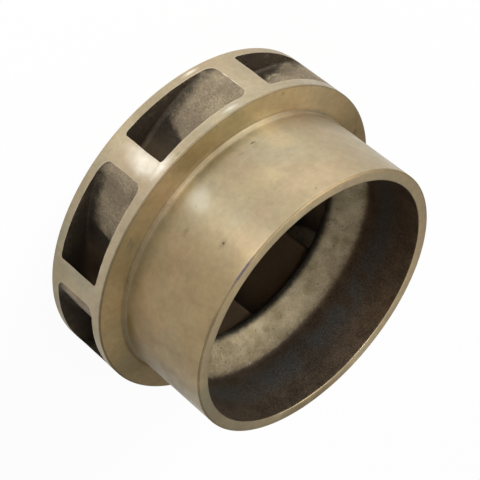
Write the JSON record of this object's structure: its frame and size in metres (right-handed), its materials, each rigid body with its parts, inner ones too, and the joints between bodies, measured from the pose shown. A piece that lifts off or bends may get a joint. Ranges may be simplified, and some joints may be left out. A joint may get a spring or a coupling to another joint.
{
  "type": "pump impeller",
  "caption": "Closed radial pump impeller cast in bronze, with a long suction collar, backward-curved vanes between two shrouds and a keyed hub bore.",
  "frame": {"origin": "centre of the back face, on the shaft axis", "axes": "+Z along the shaft axis, from the back shroud to the end of the suction collar; +X through the middle of the keyway"},
  "size_m": [0.14, 0.14, 0.0727],
  "materials": {
    "cast_bronze": "turned outside with tarnish, as cast inside"
  },
  "bodies": {
    "root": {"impeller": "cast_bronze"}
  },
  "joints": []
}
